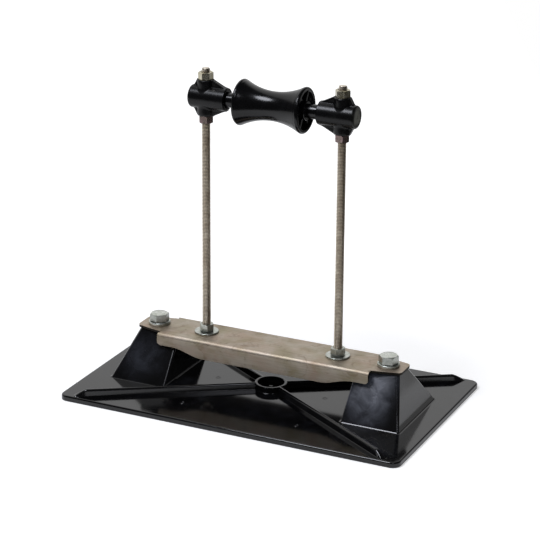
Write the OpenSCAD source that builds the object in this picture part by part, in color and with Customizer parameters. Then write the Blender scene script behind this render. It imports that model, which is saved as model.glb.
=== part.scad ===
// Adjustable pipe roller support: a moulded base, a formed steel channel, two threaded rods
// and a waisted roller that turns between two sockets held on the rods by nuts.
// X runs along the roller, Z is up, and the origin is under the middle of the base.

/* [Base] */
// Length of the base plate along X
base_length = 400; // [380:1:440]
// Width of the base plate along Y
base_width = 241; // [225:1:280]
// Thickness of the base plate
base_thickness = 6.2; // [5:0.1:8]
// Corner radius of the base plate in plan
base_corner_radius = 10; // [6:0.5:16]
// Rounding of the plate's upper edge
base_edge_radius = 2; // [0.8:0.1:2.5]

/* [Ribs and hub] */
// Height of the diagonal ribs above the plate
rib_height = 7.2; // [4:0.1:9]
// Width of a rib at its foot
rib_foot_width = 7; // [5:0.1:9]
// Width of a rib at its top
rib_top_width = 5.4; // [3:0.1:6]
// Distance from the plate's side edges to a rib's tip, along X
rib_tip_inset_x = 17; // [12:0.5:30]
// Distance from the plate's long edges to a rib's tip, along Y
rib_tip_inset_y = 4.5; // [4:0.5:20]
// Length over which a rib curves down to the plate at its tip
rib_slope_length = 14; // [8:0.5:30]
// How much a rib's tip curves: 1 is a straight slope, 2 a parabola
rib_tip_power = 1.3; // [1:0.1:3]
// Outside diameter of the open hub where the ribs meet
hub_diameter = 36; // [30:0.2:50]
// Wall of the hub
hub_wall = 3.2; // [2:0.1:5]
// Diameter of the moulding gate's stub in the hub
gate_diameter = 5; // [3:0.1:8]
// Height of the gate's stub
gate_height = 2.4; // [1:0.1:4]

/* [Pedestals] */
// Distance between the two anchor bolts
bolt_spacing = 277; // [268:0.5:290]
// Height of the pedestals above the plate
pedestal_height = 49.3; // [44:0.1:60]
// Distance from the bolt's axis to the foot's inner edge
pedestal_foot_inner = 32.8; // [30:0.1:36]
// Distance from the bolt's axis to the foot's outer edge
pedestal_foot_outer = 34.3; // [30:0.1:38]
// Distance from the bolt's axis to the top's inner edge
pedestal_top_inner = 31.8; // [28:0.1:34]
// Distance from the bolt's axis to the top's outer edge
pedestal_top_outer = 17.2; // [16.6:0.1:22]
// Width of a pedestal's foot along Y
pedestal_foot_width = 105; // [95:0.5:120]
// Width of a pedestal's top along Y
pedestal_top_width = 27; // [26:0.5:36]
// Rounding of a pedestal's slanted corners
pedestal_corner_radius = 2.6; // [1.5:0.1:4]
// Depth of the bevel round a pedestal's top
pedestal_bevel = 1; // [0.4:0.1:1.4]
// Corner radius of a pedestal's hollow
pedestal_hollow_radius = 2; // [1:0.1:4]
// Flare of the fillet at a pedestal's foot
pedestal_fillet = 1.6; // [0.8:0.1:3]
// Side wall of the hollow pedestals
pedestal_wall = 4; // [3:0.1:5]
// Thickness of the pedestals' top, under the channel
pedestal_roof = 8; // [6:0.1:9]

/* [Channel] */
// Thickness of the formed steel
channel_thickness = 3; // [2.5:0.1:3.5]
// Width of the channel across its flanges
channel_width = 57; // [52:0.5:64]
// Length of the flanged stretch
flange_length = 254; // [240:1:260]
// Depth of the flanges in the middle
flange_depth = 21.4; // [18:0.1:26]
// Depth of the flanges at their ends
flange_end_depth = 13.7; // [10:0.1:16]
// Distance from the centre to the foot of the flange's curve
flange_curve_start = 71; // [60:1:80]
// Length of the flange's curve along X
flange_curve_length = 37; // [25:1:42]
// Radius of the flange's lower end corners
flange_corner_radius = 4.5; // [3:0.5:7]
// Outside radius of the bends
bend_radius = 5; // [4:0.1:7]
// Distance from the bolt's axis to the end of a tab
tab_overhang = 20; // [18:0.5:26]
// Width of a tab where it leaves the flanged stretch
tab_root_width = 42; // [38:0.5:46]
// Width of a tab at its end
tab_end_width = 27; // [24:0.5:32]
// Corner radius of the tabs
tab_corner_radius = 4.5; // [3:0.5:7]
// Radius of the relief notches where the flanges end
relief_radius = 2; // [1:0.1:3]

/* [Anchor bolts] */
// Diameter of the anchor bolts
bolt_diameter = 12.7; // [11:0.1:13]
// Length of bolt that stands out of its nut
bolt_tail = 4.2; // [2:0.1:7]
// Width of the bolt's hexagon across its flats
bolt_flats = 19.05; // [17:0.05:21]
// Height of the bolt's head
bolt_head_height = 8.9; // [6:0.1:10]
// Height of the anchor bolt's nut
bolt_nut_height = 11.1; // [9:0.1:12]
// Outside diameter of the split lock washer
lock_washer_diameter = 24.4; // [22:0.1:25]
// Thickness of the split lock washer
lock_washer_thickness = 3.5; // [2.5:0.1:4]
// Width of the lock washer's slanted split
lock_washer_split = 1.2; // [0.8:0.1:2]
// Outside diameter of the flat washer inside a pedestal
anchor_washer_diameter = 27; // [24:0.1:28]
// Thickness of the flat washer inside a pedestal
anchor_washer_thickness = 2.4; // [1.5:0.1:3]
// Chamfer of a bolt's end
bolt_chamfer = 1.3; // [0.5:0.1:2]

/* [Rods] */
// Distance between the two rods
rod_spacing = 158.75; // [152:0.25:166]
// Diameter of a rod over its thread
rod_diameter = 9.525; // [8.5:0.025:10]
// Length of a rod
rod_length = 317.5; // [200:0.5:400]
// Width of the rod nuts across their flats
nut_flats = 14.3; // [13:0.1:16]
// Height of the rod nuts
nut_height = 8.3; // [7:0.1:10]
// Outside diameter of the washers on the channel
seat_washer_diameter = 27; // [22:0.1:30]
// Thickness of the washers on the channel
seat_washer_thickness = 2; // [1.5:0.1:3]
// Length of rod that stands out of the nut under the channel
rod_tail = 3.2; // [1:0.1:6]
// Length of rod that stands out of the lock nut at the top
rod_stand = 4; // [2:0.1:20]
// Chamfer of a rod's ends
rod_chamfer = 1; // [0.4:0.1:1.6]

/* [Sockets] */
// Distance from a socket's mouth to the axis of its rod
boss_offset = 25.7; // [24.5:0.1:27.5]
// Length of a socket along the roller's axis
socket_length = 42.8; // [40:0.2:46]
// Outside diameter of a socket's barrel
barrel_diameter = 25; // [23:0.1:28]
// Rounding of the barrel's closed end
barrel_rim_radius = 2.2; // [1:0.1:4]
// Diameter of the upright boss round the rod
boss_diameter = 18.5; // [17:0.1:21]
// Height of the boss
boss_height = 39.4; // [33:0.1:44]
// Thickness of the webs between the boss and the barrel
web_thickness = 6; // [4:0.1:9]
// Height of the webs at the mouth
web_mouth_height = 23; // [18:0.1:24]
// Height of the webs at the closed end
web_end_height = 20; // [14:0.1:22]
// Depth of the axle's seat in a socket
axle_seat_depth = 16; // [13:0.1:17]
// Chamfer of the axle's seat at the mouth
mouth_chamfer = 1.4; // [0.6:0.1:2]

/* [Roller] */
// Length of the roller
roller_length = 77; // [70:0.5:84]
// Diameter of the roller over its rims
rim_diameter = 49.8; // [47:0.1:54]
// Diameter of the roller at its waist
waist_diameter = 31.6; // [29:0.1:34]
// Width of the round bead at each rim
rim_bead_width = 5; // [4:0.1:6]
// Height of a bead over the end of the saddle
rim_bead_step = 0.9; // [0.4:0.1:1.4]
// Diameter of the axle
axle_diameter = 15.875; // [14:0.025:16.5]
// Chamfer of the axle's ends
axle_chamfer = 1; // [0.4:0.1:2]
// Diameter of the roller's hub round the axle
roller_hub_diameter = 20.6; // [19.8:0.1:22]
// Height of the hub over the roller's end faces
roller_hub_stand = 1.2; // [0.5:0.1:3]
// Wall of the roller's shell at its rims
shell_wall = 4.2; // [3:0.1:5]
// Depth of the hollow in each end of the roller
hollow_depth = 20; // [14:0.5:22]
// Width of the hollow at its bottom
hollow_floor_width = 2.6; // [2:0.1:3]
// Number of spokes in each hollow
spoke_count = 6; // [4:1:8]
// Thickness of a spoke
spoke_thickness = 2.6; // [2:0.1:4]
// Distance from the roller's end face to the spokes
spoke_recess = 2.5; // [1:0.1:5]

/* [Fits] */
// Radial clearance of the axle in its seats
running_clearance = 0.06; // [0.02:0.01:0.1]
// Radial clearance of nuts on their threads
thread_clearance = 0.05; // [0.02:0.01:0.1]
// Radial clearance of rods and bolts in their holes
hole_clearance = 0.6; // [0.3:0.05:0.8]
// Gap between the axle's ends and the bottoms of its seats
end_float = 0.4; // [0.3:0.05:0.8]

/* [Hidden] */
left = -1;
right = 1;

// Heights of the seats, from the ground up
plate_top = base_thickness;
pedestal_top = plate_top + pedestal_height;
roof_underside = pedestal_top - pedestal_roof;
channel_top = pedestal_top + channel_thickness;
rod_bottom = pedestal_top - seat_washer_thickness - nut_height - rod_tail;
roller_axis_height = rod_bottom + rod_length - rod_stand - nut_height - boss_height / 2;
boss_bottom = roller_axis_height - boss_height / 2;
boss_top = roller_axis_height + boss_height / 2;

// Places along X
bolt_x = bolt_spacing / 2;
rod_x = rod_spacing / 2;
mouth_x = rod_x - boss_offset;

// Length of a bolt under its head, through everything that it clamps
bolt_length = lock_washer_thickness + channel_thickness + pedestal_roof + anchor_washer_thickness
    + bolt_nut_height + bolt_tail;

// Fitted radii
bolt_hole_radius = bolt_diameter / 2 + hole_clearance;
rod_hole_radius = rod_diameter / 2 + hole_clearance;
bolt_thread_radius = bolt_diameter / 2 + thread_clearance;
rod_thread_radius = rod_diameter / 2 + thread_clearance;
axle_seat_radius = axle_diameter / 2 + running_clearance;
axle_half_length = mouth_x + axle_seat_depth - end_float;

// Allowance for cuts that run past a face
past = 1;
// Angle of a hexagon's chamfers, and the share of its flats that they leave
hex_chamfer_angle = 30;
hex_face_share = 0.97;
// Straight stretches in each drawn arc and in the flange's curve
arc_steps = 10;
curve_steps = 20;
// Facets of hulled corners, and of turned shapes
corner_facets = 32;
round_facets = 96;
// Place of a lock washer's split round its bolt, and its slant
split_turn = 100;
split_slant = 30;
plastic_black = "#141416";
zinc_plate = "#b9b8b0";
yellow_zinc = "#b3a878";
bare_steel = "#8d8574";

// Across-corners radius of a hexagon of the given width across flats
function hex_radius(flats) = flats / 2 / cos(30);
// Smooth step from 0 to 1, level at both ends
function ease(t) = t * t * (3 - 2 * t);

// Places of a pedestal's sides at a height above the ground, from its bolt's axis
function pedestal_side(foot, top, z) = foot + (top - foot) * (z - plate_top) / pedestal_height;
function pedestal_inner(z) = pedestal_side(pedestal_foot_inner, pedestal_top_inner, z);
function pedestal_outer(z) = pedestal_side(pedestal_foot_outer, pedestal_top_outer, z);
function pedestal_half_width(z) = pedestal_side(pedestal_foot_width, pedestal_top_width, z) / 2;

// Four short upright pins at the corners of a pedestal at a level, moved outwards by grow, for hulls
module corner_pins(level, grow, radius, z, height, top_radius) {
    reach = grow - radius;
    for (x = [-pedestal_inner(level) - reach, pedestal_outer(level) + reach], y = [-1, 1])
        translate([x, y * (pedestal_half_width(level) + reach), z])
            cylinder(r1 = radius, r2 = top_radius, h = height, $fn = corner_facets);
}

// What is drawn for the right side, or its mirror image for the left
module on_side(side) {
    mirror([side < 0 ? 1 : 0, 0, 0])
        children();
}

// Hexagon with both ends chamfered by a cone
module hexagon(flats, height, chamfer_top = true, chamfer_foot = true) {
    corner = hex_radius(flats);
    face = flats / 2 * hex_face_share;
    drop = (corner + past - face) * tan(hex_chamfer_angle);
    intersection() {
        cylinder(r = corner, h = height, $fn = 6);
        rotate_extrude($fn = round_facets)
            polygon([
                [0, 0],
                [chamfer_foot ? face : corner + past, 0],
                [corner + past, chamfer_foot ? drop : 0],
                [corner + past, chamfer_top ? height - drop : height],
                [chamfer_top ? face : corner + past, height],
                [0, height]
            ]);
    }
}

module nut(flats, height, bore_radius) {
    difference() {
        hexagon(flats, height);
        translate([0, 0, -past])
            cylinder(r = bore_radius, h = height + 2 * past, $fn = round_facets);
    }
}

module washer(diameter, thickness, bore_radius) {
    difference() {
        cylinder(d = diameter, h = thickness, $fn = round_facets);
        translate([0, 0, -past])
            cylinder(r = bore_radius, h = thickness + 2 * past, $fn = round_facets);
    }
}

// Plate of the base, with a round upper edge
module base_plate() {
    hull()
        for (x = [-1, 1], y = [-1, 1])
            translate([x * (base_length / 2 - base_corner_radius),
                       y * (base_width / 2 - base_corner_radius), 0])
                rotate_extrude($fn = corner_facets)
                    union() {
                        square([base_corner_radius - base_edge_radius, base_thickness]);
                        square([base_corner_radius, base_thickness - base_edge_radius]);
                        translate([base_corner_radius - base_edge_radius, base_thickness - base_edge_radius])
                            circle(r = base_edge_radius, $fn = corner_facets);
                    }
}

// Outside of a pedestal, with its foot set into the plate and a fillet round the foot
module pedestal_body() {
    radius = pedestal_corner_radius;
    sunk = plate_top / 2;
    fillet_top = plate_top + 2 * pedestal_fillet;
    hull() {
        corner_pins(plate_top, 0, radius, sunk, plate_top - sunk, radius);
        corner_pins(pedestal_top, 0, radius, pedestal_top - pedestal_bevel, pedestal_bevel,
                    radius - pedestal_bevel);
    }
    hull() {
        corner_pins(plate_top, pedestal_fillet, radius, sunk, plate_top - sunk, radius);
        corner_pins(fillet_top, 0, radius, plate_top, fillet_top - plate_top, radius);
    }
}

// Hollow of a pedestal, open under the plate
module pedestal_hollow() {
    radius = pedestal_hollow_radius;
    hull() {
        corner_pins(0, -pedestal_wall, radius, -past, past, radius);
        corner_pins(roof_underside, -pedestal_wall, radius, roof_underside - past, past, radius);
    }
}

// Rib from the hub to a corner of the plate, with drafted sides and a tip that curves down
module diagonal_rib(x_sign, y_sign) {
    tip_x = base_length / 2 - rib_tip_inset_x;
    tip_y = base_width / 2 - rib_tip_inset_y;
    reach = norm([tip_x, tip_y]);
    root = plate_top / 2;
    rib_top = plate_top + rib_height;
    start = hub_diameter / 2 - hub_wall / 2;
    tip_curve = [for (i = [0 : arc_steps])
        [reach - rib_slope_length * i / arc_steps,
         rib_top - rib_height * pow(1 - i / arc_steps, rib_tip_power)]];
    rotate([0, 0, atan2(y_sign * tip_y, x_sign * tip_x)])
        intersection() {
            rotate([90, 0, 90])
                linear_extrude(height = reach)
                    polygon([
                        [-rib_foot_width / 2, root], [rib_foot_width / 2, root],
                        [rib_foot_width / 2, plate_top], [rib_top_width / 2, rib_top],
                        [-rib_top_width / 2, rib_top], [-rib_foot_width / 2, plate_top]
                    ]);
            rotate([90, 0, 0])
                linear_extrude(height = 2 * rib_foot_width, center = true)
                    polygon(concat([[start, root], [reach, root]], tip_curve, [[start, rib_top]]));
        }
}

module base() {
    hub_radius = hub_diameter / 2;
    color(plastic_black) {
        difference() {
            union() {
                base_plate();
                for (x = [-1, 1], y = [-1, 1])
                    diagonal_rib(x, y);
                cylinder(r = hub_radius, h = plate_top + rib_height, $fn = round_facets);
                for (side = [left, right])
                    on_side(side)
                        translate([bolt_x, 0, 0])
                            pedestal_body();
            }
            translate([0, 0, plate_top])
                difference() {
                    cylinder(r = hub_radius - hub_wall, h = rib_height + past, $fn = round_facets);
                    translate([0, 0, -past])
                        cylinder(d = gate_diameter, h = gate_height + past, $fn = round_facets);
                }
            for (side = [left, right])
                on_side(side)
                    translate([bolt_x, 0, 0]) {
                        pedestal_hollow();
                        translate([0, 0, roof_underside - past])
                            cylinder(r = bolt_hole_radius, h = pedestal_roof + 2 * past, $fn = round_facets);
                    }
        }
    }
}

// Cross-section of the channel: an inverted U with round bends
module channel_section() {
    module arch(width, height, radius) {
        translate([-width / 2 + radius, -height])
            square([width - 2 * radius, height]);
        translate([-width / 2, -height])
            square([width, height - radius]);
        for (y = [-1, 1])
            translate([y * (width / 2 - radius), -radius])
                circle(r = radius, $fn = round_facets);
    }
    difference() {
        arch(channel_width, flange_depth + past, bend_radius);
        translate([0, -channel_thickness])
            arch(channel_width - 2 * channel_thickness, flange_depth + past,
                 bend_radius - channel_thickness);
    }
}

// Side view of the flanged stretch: the lower edge rises in a smooth curve towards each end
module flange_outline() {
    half = flange_length / 2;
    curve = [for (i = [0 : curve_steps])
        [flange_curve_start + flange_curve_length * i / curve_steps,
         -flange_depth + (flange_depth - flange_end_depth) * ease(i / curve_steps)]];
    corner = [for (i = [0 : arc_steps])
        [half - flange_corner_radius + flange_corner_radius * sin(90 * i / arc_steps),
         -flange_end_depth + flange_corner_radius * (1 - cos(90 * i / arc_steps))]];
    edge = concat(curve, corner, [[half, 0]]);
    last = len(edge) - 1;
    mirrored = [for (i = [0 : last]) [-edge[last - i][0], edge[last - i][1]]];
    polygon(concat(edge, mirrored));
}

// Plan of a tab that tapers outwards to round corners, from inside the flanged stretch
module tab_outline() {
    end_x = bolt_x + tab_overhang;
    root_x = flange_length / 2;
    taper = atan2((tab_root_width - tab_end_width) / 2, end_x - root_x);
    arc_x = end_x - tab_corner_radius;
    arc_y = tab_end_width / 2 + tab_corner_radius * (tan(taper) - 1 / cos(taper));
    corner = [for (i = [0 : arc_steps])
        [arc_x + tab_corner_radius * cos((90 - taper) * i / arc_steps),
         arc_y + tab_corner_radius * sin((90 - taper) * i / arc_steps)]];
    upper = concat(corner, [[root_x, tab_root_width / 2], [root_x - tab_root_width / 4, tab_root_width / 2]]);
    last = len(upper) - 1;
    lower = [for (i = [0 : last]) [upper[last - i][0], -upper[last - i][1]]];
    polygon(concat(upper, lower));
}

module cross_channel() {
    color(bare_steel)
        translate([0, 0, channel_top])
            difference() {
                union() {
                    intersection() {
                        rotate([90, 0, 90])
                            linear_extrude(height = flange_length, center = true)
                                channel_section();
                        rotate([90, 0, 0])
                            linear_extrude(height = channel_width + 2 * past, center = true)
                                flange_outline();
                    }
                    translate([0, 0, -channel_thickness])
                        for (side = [left, right])
                            on_side(side)
                                linear_extrude(height = channel_thickness)
                                    tab_outline();
                }
                for (x = [left, right]) {
                    translate([x * bolt_x, 0, -channel_thickness - past])
                        cylinder(r = bolt_hole_radius, h = channel_thickness + 2 * past, $fn = round_facets);
                    translate([x * rod_x, 0, -channel_thickness - past])
                        cylinder(r = rod_hole_radius, h = channel_thickness + 2 * past, $fn = round_facets);
                    for (y = [-1, 1])
                        translate([x * flange_length / 2, y * (tab_root_width / 2 + relief_radius),
                                   -flange_depth])
                            cylinder(r = relief_radius, h = flange_depth + past, $fn = round_facets);
                }
            }
}

module anchor_bolt(side, turn) {
    under_head = channel_top + lock_washer_thickness;
    radius = bolt_diameter / 2;
    color(zinc_plate)
        translate([side * bolt_x, 0, under_head]) {
            rotate([0, 0, turn])
                hexagon(bolt_flats, bolt_head_height, chamfer_foot = false);
            translate([0, 0, bolt_chamfer - bolt_length])
                cylinder(r = radius, h = bolt_length - bolt_chamfer, $fn = round_facets);
            translate([0, 0, -bolt_length])
                cylinder(r1 = radius - bolt_chamfer, r2 = radius, h = bolt_chamfer, $fn = round_facets);
        }
}

// Split ring; the split is slanted and faces the back
module lock_washer(side) {
    color(zinc_plate)
        translate([side * bolt_x, 0, channel_top])
            difference() {
                washer(lock_washer_diameter, lock_washer_thickness, bolt_thread_radius);
                rotate([0, 0, split_turn])
                    translate([lock_washer_diameter / 4, 0, lock_washer_thickness / 2])
                        rotate([split_slant, 0, 0])
                            cube([lock_washer_diameter / 2, lock_washer_split, 3 * lock_washer_thickness],
                                 center = true);
            }
}

module anchor_washer(side) {
    color(zinc_plate)
        translate([side * bolt_x, 0, roof_underside - anchor_washer_thickness])
            washer(anchor_washer_diameter, anchor_washer_thickness, bolt_thread_radius);
}

module anchor_nut(side) {
    color(zinc_plate)
        translate([side * bolt_x, 0, roof_underside - anchor_washer_thickness - bolt_nut_height])
            nut(bolt_flats, bolt_nut_height, bolt_thread_radius);
}

// Threaded rod, shown at its major diameter, with chamfered ends
module rod(side) {
    radius = rod_diameter / 2;
    color(bare_steel)
        translate([side * rod_x, 0, rod_bottom])
            rotate_extrude($fn = round_facets)
                polygon([
                    [0, 0], [radius - rod_chamfer, 0],
                    [radius, rod_chamfer], [radius, rod_length - rod_chamfer],
                    [radius - rod_chamfer, rod_length], [0, rod_length]
                ]);
}

// Washer and nut of a rod, at a height and turned by an angle
module rod_washer(side, z) {
    color(zinc_plate)
        translate([side * rod_x, 0, z])
            washer(seat_washer_diameter, seat_washer_thickness, rod_thread_radius);
}

module rod_nut(side, z, turn, tint) {
    color(tint)
        translate([side * rod_x, 0, z])
            rotate([0, 0, turn])
                nut(nut_flats, nut_height, rod_thread_radius);
}

// Barrel of a socket along X, with a round rim at its closed end, from the mouth at 0
module socket_barrel() {
    radius = barrel_diameter / 2;
    rotate([90, 0, 90])
        rotate_extrude($fn = round_facets)
            union() {
                square([radius, socket_length - barrel_rim_radius]);
                square([radius - barrel_rim_radius, socket_length]);
                translate([radius - barrel_rim_radius, socket_length - barrel_rim_radius])
                    circle(r = barrel_rim_radius, $fn = corner_facets);
            }
}

// Side view of the webs, which run from the barrel's ends up to the boss
module web_outline() {
    boss_radius = boss_diameter / 2;
    inner_x = boss_offset - boss_radius;
    outer_x = boss_offset + boss_radius;
    mouth_z = web_mouth_height / 2;
    end_z = web_end_height / 2;
    top_z = boss_height / 2;
    end_x = socket_length - barrel_rim_radius;
    polygon([
        [0, -mouth_z], [inner_x, -top_z], [outer_x, -top_z], [end_x, -end_z],
        [end_x, end_z], [outer_x, top_z], [inner_x, top_z], [0, mouth_z]
    ]);
}

// Socket that carries one end of the axle; side +1 has its mouth towards -X
module socket(side) {
    color(plastic_black)
        on_side(side)
            translate([mouth_x, 0, roller_axis_height])
                difference() {
                    union() {
                        socket_barrel();
                        translate([boss_offset, 0, -boss_height / 2])
                            cylinder(d = boss_diameter, h = boss_height, $fn = round_facets);
                        rotate([90, 0, 0])
                            linear_extrude(height = web_thickness, center = true)
                                web_outline();
                    }
                    translate([boss_offset, 0, -boss_height / 2 - past])
                        cylinder(r = rod_hole_radius, h = boss_height + 2 * past, $fn = round_facets);
                    translate([-past, 0, 0])
                        rotate([0, 90, 0])
                            cylinder(r = axle_seat_radius, h = axle_seat_depth + past, $fn = round_facets);
                    translate([-past, 0, 0])
                        rotate([0, 90, 0])
                            cylinder(r1 = axle_seat_radius + mouth_chamfer + past, r2 = axle_seat_radius,
                                     h = mouth_chamfer + past, $fn = round_facets);
                }
}

// Half profile of the roller: a saddle arc between two round beads
module roller_profile() {
    rim_radius = rim_diameter / 2;
    waist_radius = waist_diameter / 2;
    half = roller_length / 2;
    bead_radius = rim_bead_width / 2;
    saddle_half = half - rim_bead_width;
    saddle_rise = rim_radius - rim_bead_step - waist_radius;
    saddle_radius = (saddle_half * saddle_half + saddle_rise * saddle_rise) / (2 * saddle_rise);
    difference() {
        translate([0, -saddle_half])
            square([rim_radius - rim_bead_step, 2 * saddle_half]);
        translate([waist_radius + saddle_radius, 0])
            circle(r = saddle_radius, $fn = 2 * round_facets);
    }
    for (end = [-1, 1]) {
        translate([0, end * (half - bead_radius) - bead_radius])
            square([rim_radius - bead_radius, rim_bead_width]);
        translate([rim_radius - bead_radius, end * (half - bead_radius)])
            circle(r = bead_radius, $fn = corner_facets);
        translate([0, end > 0 ? half - past : -half - roller_hub_stand])
            square([roller_hub_diameter / 2, roller_hub_stand + past]);
    }
}

// Hollow in one end of the roller, left open between the spokes
module end_hollow() {
    hub_radius = roller_hub_diameter / 2;
    mouth_radius = rim_diameter / 2 - shell_wall;
    floor_radius = hub_radius + hollow_floor_width;
    half = roller_length / 2;
    difference() {
        rotate_extrude($fn = round_facets)
            polygon([
                [hub_radius, half - hollow_depth], [floor_radius, half - hollow_depth],
                [mouth_radius, half - spoke_recess], [mouth_radius, half + past], [hub_radius, half + past]
            ]);
        for (i = [0 : spoke_count - 1])
            rotate([0, 0, 360 * i / spoke_count])
                translate([0, -spoke_thickness / 2, half - hollow_depth - past])
                    cube([rim_diameter / 2, spoke_thickness, hollow_depth - spoke_recess + past]);
    }
}

module roller() {
    color(plastic_black)
        translate([0, 0, roller_axis_height])
            rotate([0, 90, 0])
                difference() {
                    rotate_extrude($fn = round_facets)
                        roller_profile();
                    end_hollow();
                    mirror([0, 0, 1])
                        end_hollow();
                    cylinder(d = axle_diameter, h = 2 * roller_length, center = true, $fn = round_facets);
                }
}

module axle() {
    radius = axle_diameter / 2;
    color(plastic_black)
        translate([0, 0, roller_axis_height])
            rotate([0, 90, 0])
                rotate_extrude($fn = round_facets)
                    polygon([
                        [0, -axle_half_length], [radius - axle_chamfer, -axle_half_length],
                        [radius, axle_chamfer - axle_half_length], [radius, axle_half_length - axle_chamfer],
                        [radius - axle_chamfer, axle_half_length], [0, axle_half_length]
                    ]);
}

// Turns of the bolts' heads and the nuts about their axes, in degrees
left_bolt_turn = 39;
right_bolt_turn = 14;
left_seat_turn = 3;
right_seat_turn = 39;
left_support_turn = 3;
right_support_turn = -3;
left_lock_turn = 26;
right_lock_turn = 6;

// Heights of the rods' nuts and washers
seat_nut_z = channel_top + seat_washer_thickness;
under_washer_z = pedestal_top - seat_washer_thickness;
under_nut_z = under_washer_z - nut_height;
support_nut_z = boss_bottom - nut_height;

base();
cross_channel();
anchor_bolt(left, left_bolt_turn);  // left_anchor_bolt
anchor_bolt(right, right_bolt_turn);  // right_anchor_bolt
lock_washer(left);  // left_lock_washer
lock_washer(right);  // right_lock_washer
anchor_nut(left);  // left_anchor_nut
anchor_nut(right);  // right_anchor_nut
anchor_washer(left);  // left_anchor_washer
anchor_washer(right);  // right_anchor_washer
rod(left);  // left_rod
rod(right);  // right_rod
rod_nut(left, seat_nut_z, left_seat_turn, zinc_plate);  // left_seat_nut
rod_nut(right, seat_nut_z, right_seat_turn, zinc_plate);  // right_seat_nut
rod_washer(left, channel_top);  // left_seat_washer
rod_washer(right, channel_top);  // right_seat_washer
rod_nut(left, under_nut_z, 0, zinc_plate);  // left_under_nut
rod_nut(right, under_nut_z, 0, zinc_plate);  // right_under_nut
rod_washer(left, under_washer_z);  // left_under_washer
rod_washer(right, under_washer_z);  // right_under_washer
socket(left);  // left_socket
socket(right);  // right_socket
rod_nut(left, support_nut_z, left_support_turn, yellow_zinc);  // left_support_nut
rod_nut(right, support_nut_z, right_support_turn, yellow_zinc);  // right_support_nut
rod_nut(left, boss_top, left_lock_turn, yellow_zinc);  // left_lock_nut
rod_nut(right, boss_top, right_lock_turn, yellow_zinc);  // right_lock_nut
roller();
axle();
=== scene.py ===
import bmesh
import bpy
import math
import numpy as np
from mathutils import Matrix, Vector


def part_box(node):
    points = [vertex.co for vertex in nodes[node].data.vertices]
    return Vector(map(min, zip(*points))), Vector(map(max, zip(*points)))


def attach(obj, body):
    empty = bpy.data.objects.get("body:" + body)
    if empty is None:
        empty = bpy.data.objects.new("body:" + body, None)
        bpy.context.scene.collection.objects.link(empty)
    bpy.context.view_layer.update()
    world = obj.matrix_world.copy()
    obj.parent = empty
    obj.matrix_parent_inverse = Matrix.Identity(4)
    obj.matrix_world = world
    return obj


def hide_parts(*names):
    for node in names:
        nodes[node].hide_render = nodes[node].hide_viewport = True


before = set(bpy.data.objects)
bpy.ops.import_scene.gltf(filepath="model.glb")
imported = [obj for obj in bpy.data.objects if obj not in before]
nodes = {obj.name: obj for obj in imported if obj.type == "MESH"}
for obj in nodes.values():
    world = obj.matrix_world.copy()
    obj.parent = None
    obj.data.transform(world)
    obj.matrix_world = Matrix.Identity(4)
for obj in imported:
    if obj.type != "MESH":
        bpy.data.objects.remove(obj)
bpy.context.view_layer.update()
mm = 0.001  # the sizes below are in millimetres, the scene is in metres
fullTurn = 2 * math.pi
drillPast = 5  # how far a drill reaches past the piece that it cuts
sharpAngle = 32  # edges that turn by more degrees than this stay sharp
tiny = 0.0005  # points closer than this are one
sides = {"left": -1, "right": 1}


# Colours and shader nodes

def linearColour(code):  # sRGB hex to a linear colour
    srgb = np.array([int(code[i:i + 2], 16) for i in (1, 3, 5)]) / 255
    linear = np.where(srgb <= 0.04045, srgb / 12.92, ((srgb + 0.055) / 1.055) ** 2.4)
    return (*linear.tolist(), 1.0)


def feed(tree, node, values):  # links the outputs of other nodes, and sets settings and constants
    for key, value in values.items():
        if isinstance(value, bpy.types.NodeSocket):
            tree.links.new(value, node.inputs[key])
        elif isinstance(key, str) and hasattr(node, key):
            setattr(node, key, value)
        else:
            node.inputs[key].default_value = value


def addNode(tree, kind, values=None):
    node = tree.nodes.new(kind)
    feed(tree, node, values or {})
    return node.outputs


def newMaterial(name):  # a material with its shader and its place on the piece
    material = bpy.data.materials.new(name)
    material.use_nodes = True
    tree = material.node_tree
    shader = tree.nodes["Principled BSDF"]
    place = addNode(tree, "ShaderNodeTexCoord")["Object"]
    return material, tree, shader, place


def noise(tree, place, size, detail, roughness=0.5, distortion=0.0, another=None):
    # Clouds with spots of a size in millimetres; a number for another gives clouds of a different shape.
    values = {"noise_dimensions": "4D", "W": another} if another else {}
    values |= {"Scale": 1 / (size * mm), "Detail": detail, "Roughness": roughness, "Distortion": distortion}
    return addNode(tree, "ShaderNodeTexNoise", {**values, "Vector": place})["Fac"]


def ramp(tree, value, start, end, low=0.0, high=1.0, kind="LINEAR"):  # from low at start to high at end
    values = {"From Min": start, "From Max": end, "To Min": low, "To Max": high, "interpolation_type": kind}
    return addNode(tree, "ShaderNodeMapRange", {**values, "Value": value})["Result"]


def maths(tree, operation, *values, clamp=False):
    return addNode(tree, "ShaderNodeMath", {"operation": operation, "use_clamp": clamp,
                   **dict(enumerate(values))})["Value"]


def vectorMaths(tree, operation, *values):  # a length, a distance or how far two directions agree
    return addNode(tree, "ShaderNodeVectorMath", {"operation": operation,
                   **dict(enumerate(values))})["Value"]


def mixColour(tree, share, first, second, blend="MIX"):
    return addNode(tree, "ShaderNodeMix", {"data_type": "RGBA", "blend_type": blend, 0: share, 6: first,
                   7: second})[2]


def mixLevel(tree, share, first, second):
    return addNode(tree, "ShaderNodeMix", {"data_type": "FLOAT", 0: share, 2: first, 3: second})[0]


def bump(tree, height, depth, under=None):  # relief of a depth in millimetres, on top of another relief
    values = {"Normal": under} if under else {}
    return addNode(tree, "ShaderNodeBump", {**values, "Strength": 1.0, "Distance": depth * mm,
                   "Height": height})["Normal"]


def axesOf(tree, place):
    return addNode(tree, "ShaderNodeSeparateXYZ", {"Vector": place})


# Meshes

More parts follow.
